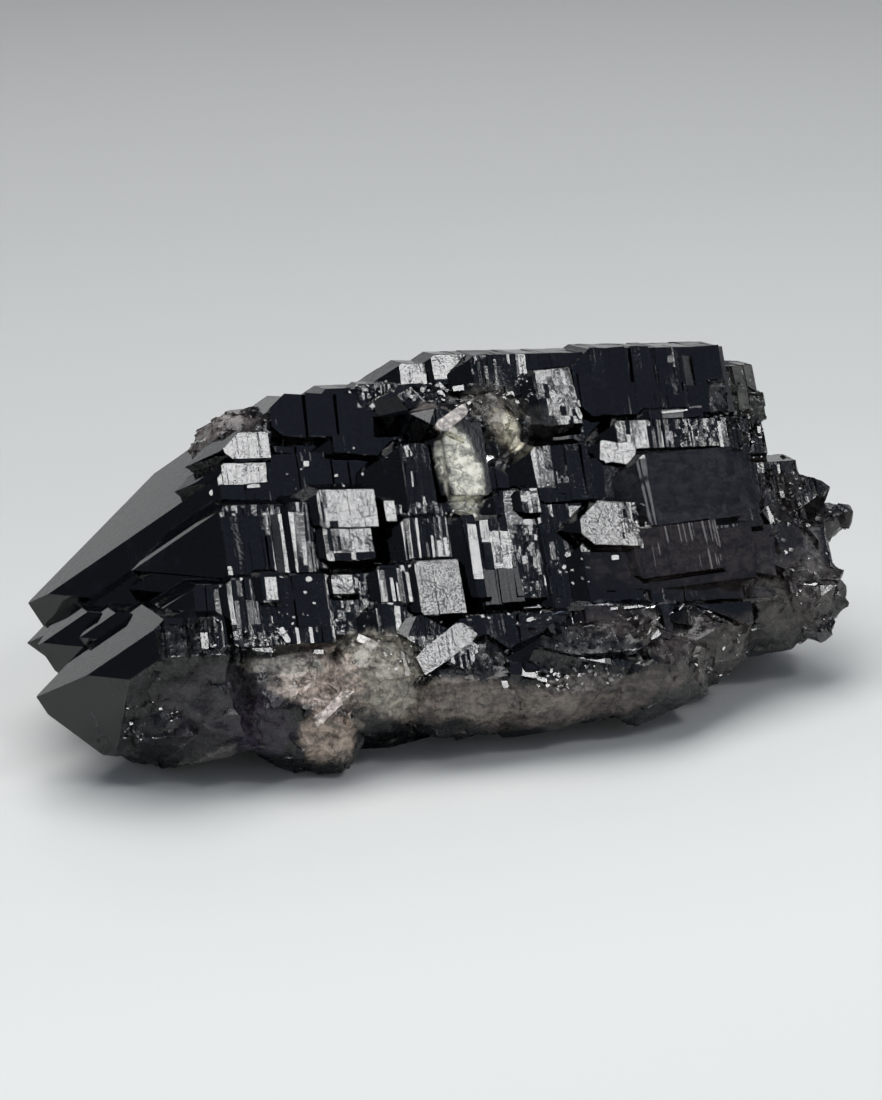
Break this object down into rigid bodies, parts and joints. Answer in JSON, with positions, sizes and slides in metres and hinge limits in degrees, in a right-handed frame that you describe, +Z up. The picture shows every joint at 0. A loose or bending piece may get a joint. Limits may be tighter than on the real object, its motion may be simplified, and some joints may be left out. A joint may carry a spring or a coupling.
{
  "type": "smoky quartz cluster",
  "caption": "Smoky quartz cluster lying on its side: parallel six-sided crystals with pointed ends, stepped prism plates and a rough broken base.",
  "frame": {"origin": "middle of the footprint, on the surface that the specimen lies on", "axes": "+X along the specimen away from its points, +Z up, -Y towards the stepped front side"},
  "size_m": [0.1282, 0.0598, 0.0465],
  "materials": {
    "smoky_quartz": "glassy, dark smoky crystal"
  },
  "bodies": {
    "root": {"smoky_quartz_cluster": "smoky_quartz"}
  },
  "joints": []
}
